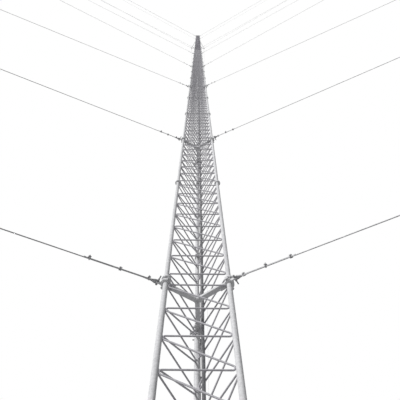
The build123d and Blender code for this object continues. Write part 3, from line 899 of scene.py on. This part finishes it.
# Foot of the mast: washers, nuts and anchor bolts round each leg; and nuts under the top plate
footLook = {"name": "foot_hardware", "count": 3, "bolt": 12 * mm, "boltCircle": 66 * mm,
            "washer": (20 * mm, 3 * mm),
            "nut": (19 * mm, 18 * mm), "boltFrom": 20 * mm, "boltTo": 44 * mm, "boltEnd": 48 * mm,
            "boltTip": 9.6 * mm, "topNut": (9 * mm, 8 * mm), "topCircle": 33 * mm, "topDrop": 13 * mm,
            "topTurn": 1.2, "material": fittingZinc, "slot": "fitting_steel"}
size, tip, bottom, shoulder, end = (footLook[k] for k in ("bolt", "boltTip", "boltFrom", "boltTo", "boltEnd"))
stud = [(0, bottom), (size, bottom), (size, shoulder), (tip, end), (0, end)]
wide, thick = footLook["washer"]
bm = bmesh.new()
for name in legNames:
    for k in range(footLook["count"]):
        way = Matrix.Rotation(math.pi * (2 * k + 1) / footLook["count"], 3, "Z") @ outwardOf(name)
        place = placeAt(legAt[name] + way * footLook["boltCircle"] + up * footZ, up, way)
        turned(bm, [(0, 0), (wide, 0), (wide, thick), (0, thick)], place, sides=16)
        hexHead(bm, place @ Matrix.Translation((0, 0, thick)), *footLook["nut"])
        turned(bm, stud, place, sides=10)
    for k in (-1, 1):
        out = Matrix.Rotation(k * footLook["topTurn"], 3, "Z") @ outwardOf(name)
        nut = legAt[name] + out * footLook["topCircle"] + up * (topZ - footLook["topDrop"])
        hexHead(bm, placeAt(nut, up * -1, outwardOf(name)), *footLook["topNut"])
piece(bm, footLook)

# Floor
floorLook = {"size": (240, 240, 0.02), "edge": 0.002, "light": (0.8, 0.8, 0.8, 1),
             "dark": (0.76, 0.76, 0.76, 1), "speck": {"Scale": 3.0, "Detail": 4.0}, "roughness": 0.9}
bm = bmesh.new()
under = placeAt(up * (-floorLook["size"][2] / 2), up, Vector((1, 0, 0)))
block(bm, under, floorLook["size"], floorLook["edge"])
mesh = bpy.data.meshes.new("floor")
bm.to_mesh(mesh)
bm.free()
floor = bpy.data.objects.new("floor", mesh)
scene.collection.objects.link(floor)
material, tree, shader = startMaterial("floorPaint")
speck = addNode(tree, "ShaderNodeTexNoise", floorLook["speck"])
paint = addNode(tree, "ShaderNodeMix", {"Factor": speck.outputs["Fac"], 6: floorLook["light"],
                                        7: floorLook["dark"]}, data_type="RGBA")
tree.links.new(paint.outputs[2], shader["Base Color"])
shader["Roughness"].default_value = floorLook["roughness"]
mesh.materials.append(material)

# Studio: white to the eye and in reflections, a weak fill on the object, and one low sun
studioLook = {"backdrop": {"Color": (1, 1, 1, 1), "Strength": 1.0},
              "fill": {"Color": (0.95, 0.97, 1, 1), "Strength": 0.16},
              "sunWay": (-0.71, -0.7, 0.36), "sunStrength": 3.1, "sunSpread": 12, "sunFar": 12}
world = bpy.data.worlds.new("studio")
scene.world = world
world.use_nodes = True
tree = world.node_tree
tree.nodes.clear()
path = addNode(tree, "ShaderNodeLightPath").outputs
seen = addNode(tree, "ShaderNodeMath", {0: path["Is Camera Ray"], 1: path["Is Glossy Ray"]},
               operation="MAXIMUM")
seen = addNode(tree, "ShaderNodeMath", {0: seen.outputs[0], 1: path["Is Transmission Ray"]},
               operation="MAXIMUM")
backdrop = addNode(tree, "ShaderNodeBackground", studioLook["backdrop"])
fill = addNode(tree, "ShaderNodeBackground", studioLook["fill"])
mix = addNode(tree, "ShaderNodeMixShader", {0: seen.outputs[0], 1: fill.outputs[0], 2: backdrop.outputs[0]})
worldOut = addNode(tree, "ShaderNodeOutputWorld")
tree.links.new(mix.outputs[0], worldOut.inputs["Surface"])

lamp = bpy.data.lights.new("keyLight", "SUN")
lamp.energy = studioLook["sunStrength"]
lamp.angle = math.radians(studioLook["sunSpread"])
holder = bpy.data.objects.new("keyLight", lamp)
way = Vector(studioLook["sunWay"])
holder.rotation_mode = "QUATERNION"
holder.rotation_quaternion = way.to_track_quat("Z", "Y")
holder.location = way.normalized() * studioLook["sunFar"]
scene.collection.objects.link(holder)

# Camera at the foot of the mast, looking up it
view = {"place": (-0.00186, -0.21144, 0.17644), "heading": 1.333, "pitch": 73.482, "roll": 0.69,
        "lens": 53.93, "sensor": 36, "near": 0.01, "far": 100}
heading, pitch, roll = (math.radians(view[k]) for k in ("heading", "pitch", "roll"))
ahead = Vector((math.sin(heading) * math.cos(pitch), math.cos(heading) * math.cos(pitch), math.sin(pitch)))
right = Vector((math.cos(heading), -math.sin(heading), 0))
above = right.cross(ahead)
lens = bpy.data.cameras.new("viewer")
lens.lens = view["lens"]
lens.sensor_width = view["sensor"]
lens.clip_start = view["near"]
lens.clip_end = view["far"]
camera = bpy.data.objects.new("viewer", lens)
turnedRight = right * math.cos(roll) - above * math.sin(roll)
turnedUp = right * math.sin(roll) + above * math.cos(roll)
camera.matrix_world = Matrix.Translation(view["place"]) @ Matrix(
    (turnedRight, turnedUp, -ahead)).transposed().to_4x4()
scene.collection.objects.link(camera)
scene.camera = camera
scene.view_settings.view_transform = "Standard"
print("floor, light and camera set")
